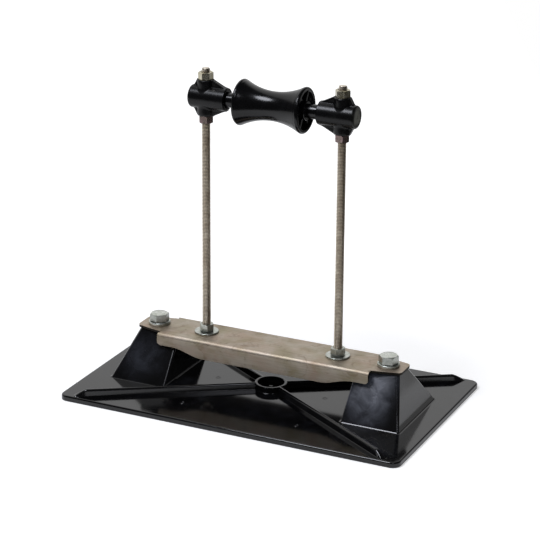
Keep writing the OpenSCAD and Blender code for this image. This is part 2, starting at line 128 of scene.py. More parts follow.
def gridFaces(rows, columns, closeRows=False, closeColumns=False):  # quads between neighbours on a grid
    i, j = np.meshgrid(np.arange(rows if closeRows else rows - 1),
                       np.arange(columns if closeColumns else columns - 1), indexing="ij")
    nextRow, nextColumn = (i + 1) % rows, (j + 1) % columns
    corners = [i * columns + j, i * columns + nextColumn,
               nextRow * columns + nextColumn, nextRow * columns + j]
    return np.stack(corners, axis=-1).reshape(-1, 4)


def newMesh(name, points, faces, sharp=sharpAngle):  # closes seams and poles, and turns faces outwards
    mesh = bpy.data.meshes.new(name)
    faceList = faces if isinstance(faces, list) else faces.tolist()
    mesh.from_pydata((points.reshape(-1, 3) * mm).tolist(), [], faceList)
    work = bmesh.new()
    work.from_mesh(mesh)
    bmesh.ops.remove_doubles(work, verts=work.verts, dist=tiny * mm)
    bmesh.ops.dissolve_degenerate(work, edges=work.edges, dist=tiny * mm)
    bmesh.ops.recalc_face_normals(work, faces=work.faces)
    work.to_mesh(mesh)
    work.free()
    shadeByAngle(mesh, sharp)
    return mesh


def shadeByAngle(mesh, sharp=sharpAngle):
    mesh.shade_smooth()
    mesh.set_sharp_from_angle(angle=math.radians(sharp))


def newObject(name, data):
    thing = bpy.data.objects.new(name, data)
    bpy.context.scene.collection.objects.link(thing)
    return thing


def dress(piece, material, body, slot, *replaced):  # finish, body and the solids that it stands for
    piece.data.materials.clear()
    piece.data.materials.append(material)
    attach(piece, body)
    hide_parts(*replaced)


def applyModifiers(piece):  # the piece keeps the mesh that its modifiers make
    shown = piece.evaluated_get(bpy.context.evaluated_depsgraph_get())
    piece.data = bpy.data.meshes.new_from_object(shown)
    piece.modifiers.clear()


def combine(piece, tools, operation):  # joins solids to a piece, or cuts them out of it
    for mesh in tools:
        tool = newObject(mesh.name, mesh)
        step = piece.modifiers.new("combine", "BOOLEAN")
        step.operation, step.solver, step.object = operation, "EXACT", tool
        applyModifiers(piece)
        bpy.data.objects.remove(tool)


def flatNormals(piece):  # large flats keep their own normal beside small fillets
    weighted = piece.modifiers.new("flat faces lead", "WEIGHTED_NORMAL")
    weighted.keep_sharp = True
    weighted.weight = 100


def nodeBox(node):  # lowest and highest corner of a solid, in millimetres
    low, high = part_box(node)
    return np.array(low) / mm, np.array(high) / mm


def sizeOf(node):
    low, high = nodeBox(node)
    return high - low


def middle(node):  # x and y of a solid's upright axis
    low, high = nodeBox(node)
    return (low + high)[:2] / 2


def hexCorner(node):  # direction and distance of a hexagon's corner, the point furthest from its axis
    points = np.array([v.co for v in nodes[node].data.vertices]) / mm
    reach = points[:, :2] - middle(node)
    away = np.linalg.norm(reach, axis=1)
    furthest = reach[np.argmax(away)]
    return math.atan2(furthest[1], furthest[0]), away.max()


def around(centre, radius, height, angle):  # points of a turned shape about an upright axis
    return np.stack([centre[0] + radius * np.cos(angle), centre[1] + radius * np.sin(angle),
                     height + 0 * angle], axis=-1)


def turnedMesh(name, centre, angle, rows, closed=False):
    # Each row is a radius and a height, given once or for each direction; neighbouring rows are joined.
    radius = np.array([np.broadcast_to(r, angle.shape) for r, z in rows])
    height = np.array([np.broadcast_to(z, angle.shape) for r, z in rows])
    points = around(centre, radius, height, angle)
    return newMesh(name, points, gridFaces(*radius.shape, closeRows=closed))


def circleAngles(columns, start=0.0):
    return start + np.linspace(0, fullTurn, columns + 1)


def drillMesh(centre, radius, low, high, columns=64):  # a plain bar that cuts a round hole
    rows = [(0, low), (radius, low), (radius, high), (0, high)]
    return turnedMesh("drill", centre, circleAngles(columns), rows)


def loftMesh(name, rows):  # outlines of equally many points, joined in order, with both ends capped
    count, size = rows.shape[:2]
    faces = gridFaces(count, size, closeColumns=True).tolist()
    faces += [list(range(size)), list(range((count - 1) * size, count * size))]
    return newMesh(name, rows, faces)


def hexLimit(angle, flats, turn):  # distance from the axis to a hexagon's side in each direction
    sector = math.pi / 3
    offFlat = (angle - turn) % sector - sector / 2
    return flats / 2 / np.cos(offFlat)


def threadRows(low, high, radius, thread, angle):
    # A 60 degree thread: crest, flank, root and flank are carried along a right-hand helix,
    # one turn per pitch, and cut off at both ends by planes and cones.
    pitch, depth = thread["pitch"], thread["depth"]
    turns = int(math.ceil((high - low) / pitch)) + 2
    share = np.array([0.0, 0.125, 0.5, 0.625])
    level = np.array([radius, radius, radius - depth, radius - depth])
    along = (np.arange(turns)[:, None] + share).ravel()
    height = low + pitch * (along[:, None] + (angle - angle[0]) / fullTurn - 1)
    height = np.clip(height, low, high)
    endReach = radius - depth + np.minimum(height - low, high - height)
    return np.minimum(np.tile(level, turns)[:, None], endReach), height


print("tools ready")


# Finishes

def bloomAndSheenOf(tree, place, look):  # grey clouds of wear, with painted reflection added within the given spots
    clouds = noise(tree, place, look["bloomSize"], 7.0, roughness=0.62, distortion=0.6)
    bloomAndSheen = ramp(tree, clouds, 0.5, 0.75, high=look["bloomAndSheen"])
    cloudy = ramp(tree, clouds, 0.36, 0.66, low=0.3)
    # each spot paints a grey-blue reflection into the colour, broken up by the clouds
    for spot in look.get("spots", []):
        centre = tuple(c * mm for c in spot["at"])
        away = vectorMaths(tree, "DISTANCE", place, centre)
        near = ramp(tree, away, spot["reach"] * mm, 0.0, high=spot["most"], kind="SMOOTHSTEP")
        bloomAndSheen = maths(tree, "ADD", bloomAndSheen, maths(tree, "MULTIPLY", near, cloudy), clamp=True)
    return bloomAndSheen


def mouldedPolypropylene(name, look):
    # Polypropylene moulded in a polished tool: black all through, with a skin that mirrors the
    # surroundings, slow sink waves in that mirror, a dull grey bloom where it has been handled, and painted
    # reflection in given spots.
    material, tree, shader, place = newMaterial(name)
    bloomAndSheen = bloomAndSheenOf(tree, place, look)
    colour = mixColour(tree, bloomAndSheen, linearColour(look["colour"]), linearColour(look["bloomAndSheenColour"]))
    grain = noise(tree, place, look["grainSize"], 3.0)
    skin = ramp(tree, grain, 0.0, 1.0, look["gloss"] * 0.7, look["gloss"] * 1.3)
    dull = maths(tree, "MULTIPLY_ADD", bloomAndSheen, look["bloomDull"], skin)
    relief = bump(tree, noise(tree, place, look["sinkSize"], 1.0), look["sinkDepth"])
    feed(tree, shader, {"Base Color": colour, "Roughness": dull, "Normal": relief, "IOR": 1.5,
                        "Specular IOR Level": look["mirror"]})
    return material


def threadRootDarkening(tree, place, look):  # dark in the roots of both rods' threads, by distance from the axis
    axes = axesOf(tree, place)
    across = maths(tree, "SUBTRACT", maths(tree, "ABSOLUTE", axes["X"]), look["axisX"] * mm)
    offset = addNode(tree, "ShaderNodeCombineXYZ", {"X": across, "Y": axes["Y"]})["Vector"]
    radius = vectorMaths(tree, "LENGTH", offset)
    flank = ramp(tree, radius, look["rootRadius"] * mm, look["crestRadius"] * mm, 1 - look["rootDark"])
    cutEnd = maths(tree, "LESS_THAN", radius, look["endRadius"] * mm)
    return maths(tree, "MAXIMUM", flank, cutEnd)


def zincPlatedSteel(name, look):
    # Steel with a thin electroplated coat: a soft metal gleam with a fine crystal grain, and a
    # chromate film that drifts between two tints over a few millimetres.
    material, tree, shader, place = newMaterial(name)
    drift = noise(tree, place, look["driftSize"], 4.0, distortion=0.8)
    film = mixColour(tree, ramp(tree, drift, 0.36, 0.64), *map(linearColour, look["tints"]))
    grain = noise(tree, place, look["grainSize"], 5.0, roughness=0.7)
    speck = ramp(tree, grain, 0.3, 0.7, 1 - look["grainDepth"], 1 + look["grainDepth"] * 0.4)
    coat = mixColour(tree, 1.0, film, speck, "MULTIPLY")
    if "axisX" in look:
        coat = mixColour(tree, 1.0, coat, threadRootDarkening(tree, place, look), "MULTIPLY")
    if "litTopFrom" in look:  # painted highlight: end faces from these heights up are painted brighter, and the sides darker as shade
        start, end = look["litTopFrom"]
        paintedLightAndShade = ramp(tree, axesOf(tree, place)["Z"], start * mm, end * mm, look["shadedSideShare"])
        coat = mixColour(tree, 1.0, coat, paintedLightAndShade, "MULTIPLY")
    dull = ramp(tree, grain, 0.0, 1.0, look["roughness"] - 0.1, look["roughness"] + 0.1)
    relief = bump(tree, grain, look["grainHeight"])
    feed(tree, shader, {"Base Color": coat, "Roughness": dull, "Normal": relief, "Metallic": 1.0})
    return material


def rolledGalvanisedSteel(name, look):
    # Rolled sheet with a dull galvanised coat: warm grey with slow pinkish and olive clouds, a few brown
    # stains, fine streaks along the rolling direction, a grain that breaks up the gleam on the bends, sheared
    # edges at both ends painted dark as shade and partly as oiled cut steel, and an inside painted dark as
    # shade.
    material, tree, shader, place = newMaterial(name)
    grey, pinkish, olive = map(linearColour, look["tints"])
    slow = noise(tree, place, look["cloudSize"], 5.0, roughness=0.6, distortion=0.7)
    other = noise(tree, place, look["cloudSize"] * 0.6, 4.0, another=3.7)
    spots = noise(tree, place, look["stainSize"], 6.0, roughness=0.7, distortion=1.2)
    coat = mixColour(tree, ramp(tree, slow, 0.38, 0.66), grey, pinkish)
    coat = mixColour(tree, ramp(tree, other, 0.45, 0.72, high=0.8), coat, olive)
    stained = ramp(tree, spots, 0.54, 0.74, high=look["stainShare"])
    coat = mixColour(tree, stained, coat, linearColour(look["stain"]))
    stretch = (1 / look["streakLength"], 1.0, 1.0)
    stretched = addNode(tree, "ShaderNodeMapping", {"Vector": place, "Scale": stretch})["Vector"]
    streaks = noise(tree, stretched, look["streakWidth"], 4.0)
    coat = mixColour(tree, 1.0, coat, ramp(tree, streaks, 0.3, 0.7, 0.88, 1.06), "MULTIPLY")
    axes = axesOf(tree, place)
    atEnd = maths(tree, "GREATER_THAN", maths(tree, "ABSOLUTE", axes["X"]), look["cutFrom"] * mm)
    under = maths(tree, "LESS_THAN", axes["Z"], look["cutBelow"] * mm)
    within = maths(tree, "LESS_THAN", maths(tree, "ABSOLUTE", axes["Y"]), look["innerHalf"] * mm)
    below = maths(tree, "LESS_THAN", axes["Z"], look["innerTop"] * mm)
    cut, inside = maths(tree, "MULTIPLY", atEnd, under), maths(tree, "MULTIPLY", within, below)
    # painted shade: the sheared ends and the inside take the dark colour
    coat = mixColour(tree, maths(tree, "MAXIMUM", cut, inside), coat, linearColour(look["paintedShadeColour"]))
    dull = ramp(tree, slow, 0.0, 1.0, look["roughness"] - 0.08, look["roughness"] + 0.1)
    grain = noise(tree, place, look["grainSize"], 3.0)
    relief = bump(tree, grain, look["grainHeight"], under=bump(tree, streaks, look["streakHeight"]))
    feed(tree, shader, {"Base Color": coat, "Roughness": dull, "Normal": relief, "Metallic": 1.0})
    return material


baseLook = {
    "colour": "#070708", "gloss": 0.1, "mirror": 0.5, "grainSize": 1.2,
    "bloomAndSheen": 0.05, "bloomSize": 22, "bloomAndSheenColour": "#585c68", "bloomDull": 0.3,
    "spots": [{"at": (116, -22, 42), "reach": 38, "most": 0.6},  # painted reflection of the key lamp on the front of the right pedestal, partly handling haze
              {"at": (138, -20, 44), "reach": 36, "most": 0.6},
              {"at": (132, -40, 22), "reach": 34, "most": 0.5},
              {"at": (-142, -36, 34), "reach": 38, "most": 0.24}],  # fainter painted reflection on the left one
    "sinkSize": 60, "sinkDepth": 0.02,
}
socketLook = {
    "colour": "#060607", "gloss": 0.28, "mirror": 0.24, "grainSize": 0.8,
    "bloomAndSheen": 0.03, "bloomSize": 9, "bloomAndSheenColour": "#565650", "bloomDull": 0.25,
    "spots": [{"at": (97, 0, 327), "reach": 13.5, "most": 2.5}],  # painted reflection of the floor on the right socket's end, partly wear
    "sinkSize": 16, "sinkDepth": 0.02,
}
rollerLook = {
    "colour": "#050506", "gloss": 0.19, "mirror": 0.32, "grainSize": 1.0,
    "bloomAndSheen": 0.04, "bloomSize": 14, "bloomAndSheenColour": "#44444a", "bloomDull": 0.2,
    "sinkSize": 24, "sinkDepth": 0.015,
}
zincLook = {
    "tints": ("#d4d6d0", "#b4b9b0"), "driftSize": 5, "grainSize": 0.9,  # grain drawn coarse enough to show
    "grainDepth": 0.34, "grainHeight": 0.014, "roughness": 0.3,
}
boltTop = nodeBox("left_anchor_bolt")[1][2]
# the heads' tops are painted lighter and their sides darker, as light and shade
boltLook = {**zincLook, "tints": ("#e4e6e0", "#c4c9bf"), "litTopFrom": (boltTop - 0.45, boltTop - 0.15),
            "shadedSideShare": 0.6}
yellowZincLook = {
    "tints": ("#dbd6c4", "#b6ae90"), "driftSize": 6, "grainSize": 1.0,
    "grainDepth": 0.18, "grainHeight": 0.02, "roughness": 0.24,
}
mauveZincLook = {**yellowZincLook, "tints": ("#b59a9c", "#8f8478"), "driftSize": 7, "roughness": 0.22}
rodLook = {
    "tints": ("#e8dfcf", "#d0c4b3"), "driftSize": 9, "grainSize": 1.2,
    "grainDepth": 0.2, "grainHeight": 0.01, "roughness": 0.3,
    "axisX": 79.375, "rootRadius": 3.8, "crestRadius": 4.6, "rootDark": 0.65,  # darker towards the thread's roots
    "endRadius": 3.5,  # nearer the axis than this are the rods' end faces, which stay undarkened
}
channelHalf, channelTop = nodeBox("cross_channel")[1][1:]  # half the width, and the height of the top
channelLook = {
    "tints": ("#bfb5a6", "#b9a593", "#a1977b"), "cloudSize": 34, "streakLength": 24, "streakWidth": 1.6,
    "stain": "#755f48", "stainSize": 15, "stainShare": 0.6, "streakHeight": 0.01,
    "grainSize": 1.8, "grainHeight": 0.03, "roughness": 0.52,
    "paintedShadeColour": "#2c2824", "cutFrom": 126.8, "cutBelow": channelTop - 0.45,  # sheared edges, painted dark as shade and partly as oiled cut steel
    "innerHalf": channelHalf - 1.5, "innerTop": channelTop - 1.5,  # half the sheet's thickness inwards; the inside is painted dark as shade
}

mouldedBase = mouldedPolypropylene("moulded black polypropylene, polished", baseLook)
mouldedSocket = mouldedPolypropylene("moulded black polypropylene, socket", socketLook)
mouldedRoller = mouldedPolypropylene("moulded black polypropylene, roller", rollerLook)
brightZinc = zincPlatedSteel("steel, bright zinc plate", zincLook)
boltZinc = zincPlatedSteel("forged steel, bright zinc plate", boltLook)
yellowZinc = zincPlatedSteel("steel, zinc plate with yellow chromate", yellowZincLook)
mauveZinc = zincPlatedSteel("steel, zinc plate with mauve chromate", mauveZincLook)
rodSteel = zincPlatedSteel("steel, zinc plated rolled thread", rodLook)
channelSteel = rolledGalvanisedSteel("steel sheet, dull galvanised", channelLook)
print("finishes ready")


# Threaded rods

rodThread = {"pitch": 1.5875, "depth": 0.97, "columns": 48}  # 16 threads to the inch

for side in sides:
    low, high = nodeBox(f"{side}_rod")
    angle = circleAngles(rodThread["columns"])
    reach, height = threadRows(low[2], high[2], (high - low)[0] / 2, rodThread, angle)
    rows = [(0, low[2]), *zip(reach, height), (0, high[2])]
    rod = newObject(f"{side}_threaded_rod", turnedMesh("rod", (low + high)[:2] / 2, angle, rows))
    dress(rod, rodSteel, "stand", "rod_steel", f"{side}_rod")
print("rods ready")


# Nuts, washers and bolts

nutShape = {"faceShare": 0.955, "chamferAngle": 30, "boreChamfer": 0.75, "columnsPerSide": 12}
washerShape = {"edge": 0.8, "edgeSteps": 5, "columns": 72}
lockWasherShape = {"splitTurn": 100, "splitWidth": 1.2, "splitSlant": 30, "edge": 0.8, "edgeSteps": 3,
                   "steps": 72}
boltShape = {"shankDiameter": 12.7, "pitch": 1.954, "depth": 1.2,  # 13 threads to the inch
             "threadLength": 22, "runout": 1, "faceShare": 0.93, "chamferAngle": 30, "footBevel": 0.6,
             "columnsPerSide": 14}


def hexChamfer(angle, flats, turn, shape):
    # A cone cuts each corner: it starts on the end face and meets the hexagon's sides in arcs.
    limit = hexLimit(angle, flats, turn)
    face = flats / 2 * shape["faceShare"]
    return limit, face, (limit - face) * math.tan(math.radians(shape["chamferAngle"]))


def nutMesh(node, boreRadius):
    low, high = (corner[2] for corner in nodeBox(node))
    turn, corner = hexCorner(node)
    angle = circleAngles(6 * nutShape["columnsPerSide"], turn)
    limit, face, drop = hexChamfer(angle, corner * math.sqrt(3), turn, nutShape)
    inner, bevel = boreRadius, nutShape["boreChamfer"]
    rows = [(inner, low + bevel), (inner + bevel, low), (face, low), (limit, low + drop),
            (limit, high - drop), (face, high), (inner + bevel, high), (inner, high - bevel)]
    return turnedMesh("nut", middle(node), angle, rows, closed=True)


def ringProfile(inner, outer, low, high, edge, steps):
    # A rectangle with round corners, as one closed loop of radius and height.
    turn = np.linspace(0, math.pi / 2, steps + 1) + np.arange(4)[:, None] * math.pi / 2 - math.pi / 2
    midRadius = np.array([outer - edge, outer - edge, inner + edge, inner + edge])[:, None]
    midHeight = np.array([low + edge, high - edge, high - edge, low + edge])[:, None]
    return (midRadius + edge * np.cos(turn)).ravel(), (midHeight + edge * np.sin(turn)).ravel()


def washerMesh(node, boreRadius):
    low, high = nodeBox(node)
    radius, height = ringProfile(boreRadius, (high - low)[0] / 2, low[2], high[2], washerShape["edge"],
                                 washerShape["edgeSteps"])
    angle = circleAngles(washerShape["columns"])
    return turnedMesh("washer", middle(node), angle, list(zip(radius, height)), closed=True)


def lockWasherMesh(node, boreRadius):
    # The ring's profile is carried round an arc that stops short of the split; each end leans
    # with the split's slant, so its direction shifts with height.
    low, high = nodeBox(node)
    outer = (high - low)[0] / 2
    radius, height = ringProfile(boreRadius, outer, low[2], high[2], lockWasherShape["edge"],
                                 lockWasherShape["edgeSteps"])
    lean = (height - (low + high)[2] / 2) * math.tan(math.radians(lockWasherShape["splitSlant"])) / radius
    gap = lockWasherShape["splitWidth"] / 2 / radius
    start = math.radians(lockWasherShape["splitTurn"])
    share = np.linspace(0, 1, lockWasherShape["steps"] + 1)
    angle = start - lean + gap + share[:, None] * (fullTurn - 2 * gap)
    return loftMesh("lock washer", around(middle(node), radius, height, angle))


def boltMesh(node, shank):  # the head starts where the lock washer ends
    low, high = (corner[2] for corner in nodeBox(node))
    head = nodeBox(node.replace("anchor_bolt", "lock_washer"))[1][2]
    turn, corner = hexCorner(node)
    angle = circleAngles(6 * boltShape["columnsPerSide"], turn)
    limit, face, drop = hexChamfer(angle, corner * math.sqrt(3), turn, boltShape)
    threadEnd, bevel = low + boltShape["threadLength"], boltShape["footBevel"]
    reach, height = threadRows(low, threadEnd, shank, boltShape, angle)
    rows = [(0, low), *zip(reach, height), (shank, threadEnd + boltShape["runout"]), (shank, head),
            (limit - bevel, head), (limit, head + bevel), (limit, high - drop), (face, high), (0, high)]
    return turnedMesh("bolt", middle(node), angle, rows)


clearance = 0.05  # of a bore round its rod or bolt
rodRadius = sizeOf("left_rod")[0] / 2 + clearance
shankRadius = boltShape["shankDiameter"] / 2
boltRadius = shankRadius + clearance
fasteners = (  # solid, piece, shape and its radius, finish
    ("seat_nut", "seat_hexagon_nut", nutMesh, rodRadius, brightZinc),
    ("under_nut", "under_hexagon_nut", nutMesh, rodRadius, brightZinc),
    ("support_nut", "support_hexagon_nut", nutMesh, rodRadius, mauveZinc),
    ("lock_nut", "lock_hexagon_nut", nutMesh, rodRadius, yellowZinc),
    ("seat_washer", "seat_flat_washer", washerMesh, rodRadius, brightZinc),
    ("under_washer", "under_flat_washer", washerMesh, rodRadius, brightZinc),
    ("anchor_washer", "anchor_flat_washer", washerMesh, boltRadius, brightZinc),
    ("anchor_nut", "anchor_hexagon_nut", nutMesh, boltRadius, brightZinc),
    ("lock_washer", "split_washer", lockWasherMesh, boltRadius, brightZinc),
    ("anchor_bolt", "hexagon_bolt", boltMesh, shankRadius, boltZinc),
)
for side in sides:
    for solid, piece, shapeOf, radius, finish in fasteners:
        node = f"{side}_{solid}"
        fastener = newObject(f"{side}_{piece}", shapeOf(node, radius))
        if finish in (mauveZinc, yellowZinc):  # the nuts that set the height
            dress(fastener, finish, f"{side}_height_nuts", "yellow_zinc", node)
        else:
            dress(fastener, finish, "stand", "zinc_plate", node)
print("fasteners ready")


# Sockets

socketShape = {
    "barrelDiameter": 25, "rimRadius": 2.8, "discRecess": 0.5, "discSlope": 0.5, "bossDiameter": 18.5,
    "bossOffset": 25.7, "bossEdge": 18, "webThickness": 6, "webMouthHeight": 23, "webEndHeight": 20,
    "blend": 2.2, "seatDepth": 16, "seatClearance": 0.06, "mouthChamfer": 1.4, "mouthRound": 0.6,
    "rodHole": 5.3625, "gateDiameter": 4, "gateDepth": 0.5, "gateSlope": 0.3, "rows": 170, "columns": 320,
    "gather": 0.36, "sharpAngle": 40,  # columns gather near the boss by this share
}


def softMax(a, b, blend):  # the larger of two radii, with a fillet of about the blend's size between them
    return np.maximum(a, b) + np.maximum(blend - np.abs(a - b), 0) ** 2 / (4 * blend)


def boxReach(angle, halfWidth, halfHeight, power, least=0.01):  # radius of a rectangle with soft corners
    across = np.abs(np.cos(angle)) / np.maximum(halfWidth, least)
    up = np.abs(np.sin(angle)) / np.maximum(halfHeight, least)
    return (across ** power + up ** power) ** (-1 / power)


def socketMesh(side):
    # About the roller's axis the radius is the largest of a barrel, an upright boss and two webs,
    # r(x, turn), with fillets where they meet. Rows run from the axle's seat over the mouth, along
    # the barrel and round the rim to the middle of the closed end.
    low, high = nodeBox(f"{side}_socket")
    shape = socketShape
    axisHeight = (low + high)[2] / 2
    length = (high - low)[0]
    barrel, rim = shape["barrelDiameter"] / 2, shape["rimRadius"]
    bossRadius, top = shape["bossDiameter"] / 2, (high - low)[2] / 2
    inner, outer = shape["bossOffset"] - bossRadius, shape["bossOffset"] + bossRadius
    turn = circleAngles(shape["columns"])
    angle = turn + shape["gather"] * np.sin(2 * turn)  # directions lie closer together near the boss
    x = np.linspace(0, length, shape["rows"])[:, None]
    halfWidth = np.sqrt(np.maximum(bossRadius ** 2 - (x - shape["bossOffset"]) ** 2, 0))
    boss = np.where(halfWidth > 0, boxReach(angle, halfWidth, top, shape["bossEdge"]), 0)
    webHeight = np.interp(x, [0, inner, outer, length - rim],
                          [shape["webMouthHeight"] / 2, top, top, shape["webEndHeight"] / 2])
    web = boxReach(angle, shape["webThickness"] / 2, webHeight, shape["bossEdge"])
    past = np.maximum(x - (length - rim), 0)
    rimDrop = rim - np.sqrt(np.maximum(rim ** 2 - past ** 2, 0))
    mouth = np.maximum(shape["mouthRound"] - x, 0)
    mouthDrop = shape["mouthRound"] - np.sqrt(np.maximum(shape["mouthRound"] ** 2 - mouth ** 2, 0))
    radius = softMax(barrel - rimDrop - mouthDrop, web - rimDrop, shape["blend"])
    radius = softMax(radius, boss, shape["blend"])
    seat = sizeOf("axle")[2] / 2 + shape["seatClearance"]
    chamfer = shape["mouthChamfer"]
    gate = shape["gateDiameter"] / 2
    before = [(0, shape["seatDepth"]), (seat, shape["seatDepth"]), (seat, chamfer), (seat + chamfer, 0)]
    slope = shape["discSlope"]
    disc, floor = barrel - rim - slope, length - shape["discRecess"]
    pit = floor - shape["gateDepth"]
    after = [(disc, length), (disc - slope, floor), (gate + shape["gateSlope"], floor), (gate, pit), (0, pit)]
    rows = np.vstack([np.full_like(angle, r) for r, place in before] + [radius]
                     + [np.full_like(angle, r) for r, place in after])
    along = np.concatenate([[place for r, place in before], x.ravel(), [place for r, place in after]])
    start = low[0] if side == "right" else high[0]
    points = np.stack([start + sides[side] * along[:, None] + 0 * rows, rows * np.cos(angle),
                       axisHeight + rows * np.sin(angle)], axis=-1)
    return newMesh(f"{side} socket", points, gridFaces(*rows.shape), shape["sharpAngle"])


for side in sides:
    low, high = (corner[2] for corner in nodeBox(f"{side}_socket"))
    socket = newObject(f"{side}_moulded_socket", socketMesh(side))
    drill = drillMesh(middle(f"{side}_rod"), socketShape["rodHole"], low - drillPast, high + drillPast)
    combine(socket, [drill], "DIFFERENCE")
    shadeByAngle(socket.data, socketShape["sharpAngle"])
    dress(socket, mouldedSocket, "carriage", "moulded_socket", f"{side}_socket")
print("sockets ready")


# Roller and axle

rollerShape = {
    "waistDiameter": 31.6, "beadWidth": 5, "beadStep": 0.9, "hubDiameter": 20.6, "hubStand": 1.2,
    "hubRound": 0.5, "shellWall": 4.2, "hollowDepth": 20, "floorWidth": 2.6, "spokeCount": 6,
    "spokeThickness": 2.6, "spokeRecess": 2.5, "mouthRound": 0.5,
    "spokeColumns": 5, "pocketColumns": 17, "saddleRows": 48, "beadRows": 12, "coneRows": 8,
}
axleShape = {"chamfer": 1.0, "columns": 72}


def endRows(shape, rim):
    # One end from the bore outwards: radius, height over the end face in the pockets, and on the spokes.
    hub, stand, bevel = shape["hubDiameter"] / 2, shape["hubStand"], shape["hubRound"]
    mouth = rim - shape["shellWall"]
    floor, deep, shallow = hub + shape["floorWidth"], -shape["hollowDepth"], -shape["spokeRecess"]
    cone = np.linspace(0, 1, shape["coneRows"] + 1)
    bore = sizeOf("axle")[2] / 2
    rows = [(bore, stand, stand), (hub - bevel, stand, stand), (hub, stand - bevel, stand - bevel),
            (hub, shallow, shallow), (hub, deep, shallow)]
    rows += [(floor + (mouth - floor) * c, deep + (shallow - deep) * c, shallow) for c in cone]
    rows += [(mouth, -shape["mouthRound"], -shape["mouthRound"]), (mouth + shape["mouthRound"], 0, 0)]
    return np.array(rows)


def rollerMesh():
    # A half profile is turned about the axis: hub, pockets, bead arc, saddle arc and the same again
    # mirrored. Columns lie in pairs on the spokes' sides, spoke half angle = asin(thickness / 2 / r),
    # and pocket columns sink to the hollow's floor where spoke columns stay level.
    shape = rollerShape
    low, high = nodeBox("roller")
    half, rim = high[0] - shape["hubStand"], (high - low)[2] / 2
    waist, bead = shape["waistDiameter"] / 2, shape["beadWidth"] / 2
    end = endRows(shape, rim)
    sweep = np.linspace(math.pi / 2, -math.pi / 2, shape["beadRows"] + 1)
    saddleHalf, rise = half - shape["beadWidth"], rim - shape["beadStep"] - waist
    saddleRadius = (saddleHalf ** 2 + rise ** 2) / (2 * rise)
    saddleX = np.linspace(saddleHalf, -saddleHalf, shape["saddleRows"] + 1)
    saddle = waist + saddleRadius - np.sqrt(saddleRadius ** 2 - saddleX ** 2)
    beadOut = np.stack([rim - bead + bead * np.cos(sweep), half - bead + bead * np.sin(sweep)], axis=-1)
    beadOut = beadOut[beadOut[:, 0] >= np.where(beadOut[:, 1] < half - bead, saddle[0], 0)]
    radius = np.concatenate([end[:, 0], beadOut[:, 0], saddle, beadOut[::-1, 0], end[::-1, 0]])
    between = np.concatenate([beadOut[:, 1], saddleX, -beadOut[::-1, 1]])
    pocketX = np.concatenate([half + end[:, 1], between, -half - end[::-1, 1]])
    spokeX = np.concatenate([half + end[:, 2], between, -half - end[::-1, 2]])
    sector = fullTurn / shape["spokeCount"]
    mouth = rim - shape["shellWall"]
    edge = np.arcsin(shape["spokeThickness"] / 2 / np.minimum(radius, mouth))[:, None]
    across = np.linspace(-1, 1, shape["spokeColumns"])
    over = np.linspace(0, 1, shape["pocketColumns"])
    one = np.hstack([edge * across, edge + (sector - 2 * edge) * over])
    isPocket = np.arange(one.shape[1]) >= shape["spokeColumns"]
    angle = np.hstack([one + i * sector for i in range(shape["spokeCount"])])
    sunk = np.tile(isPocket, shape["spokeCount"])
    x = np.where(sunk, pocketX[:, None], spokeX[:, None])
    axisHeight, radius = (low + high)[2] / 2, radius[:, None]
    points = np.stack([x, radius * np.cos(angle), axisHeight + radius * np.sin(angle)], axis=-1)
    return newMesh("roller", points, gridFaces(*x.shape, closeRows=True, closeColumns=True))


dress(newObject("waisted_roller", rollerMesh()), mouldedRoller, "roller", "moulded_roller", "roller")

low, high = nodeBox("axle")
axleRadius, axleEnd = (high - low)[2] / 2, high[0]
bevel = axleShape["chamfer"]
axleRows = np.array([(0, -axleEnd), (axleRadius - bevel, -axleEnd), (axleRadius, bevel - axleEnd),
                     (axleRadius, axleEnd - bevel), (axleRadius - bevel, axleEnd), (0, axleEnd)])
angle = circleAngles(axleShape["columns"])
axlePoints = np.stack([axleRows[:, 1:] + 0 * angle, axleRows[:, :1] * np.cos(angle),
                       (low + high)[2] / 2 + axleRows[:, :1] * np.sin(angle)], axis=-1)
axle = newObject("roller_axle", newMesh("axle", axlePoints, gridFaces(*axlePoints.shape[:2])))
dress(axle, mouldedRoller, "roller", "moulded_roller", "axle")
print("roller ready")


# Moulded base

plateShape = {"thickness": 6.2, "cornerRadius": 10, "edgeRadius": 2.0, "footEdge": 0.5, "cornerSteps": 14,
              "edgeSteps": 8}
pedestalShape = {"footInner": 32.8, "footOuter": 34.3, "topInner": 31.8, "topOuter": 17.2, "footWidth": 105,
                 "topWidth": 27, "footCorner": 2.6, "topCorner": 4.6, "topRound": 1.2, "fillet": 0.6,
                 "sideFillet": 2.2, "filletHeight": 1.2, "wall": 4, "roof": 8, "hollowRadius": 2,
                 "boltHole": 6.95, "cornerSteps": 10, "roundSteps": 6}
ribShape = {"height": 7.2, "footWidth": 6.6, "topWidth": 5.0, "tipInsetX": 17, "tipInsetY": 4.5,
            "slopeLength": 14, "tipPower": 1.3, "fillet": 0.7, "topRound": 2.4, "roundSteps": 8,
            "slopeRows": 15}
hubShape = {"diameter": 36, "wall": 3.2, "topRound": 0.8, "fillet": 1.2, "gateDiameter": 5, "gateHeight": 2.4,
            "gateFoot": 0.4, "gateBevel": 0.5, "gateDimple": 0.6, "columns": 96, "roundSteps": 5}
pinMarkShape = {"places": ((68, -80), (65, 0), (68, 80)), "diameter": 5.2, "rim": 0.7, "height": 0.25,
                "foot": 0.2, "edge": 0.1, "dimpleSlope": 0.3, "columns": 32}
sunk = 0.02  # shells start this much above the plate's face, so that no faces coincide

baseLow, baseHigh = nodeBox("base")
plateTop = plateShape["thickness"]
channelThickness = 3
pedestalTop = channelTop - channelThickness
ribTop = plateTop + ribShape["height"]


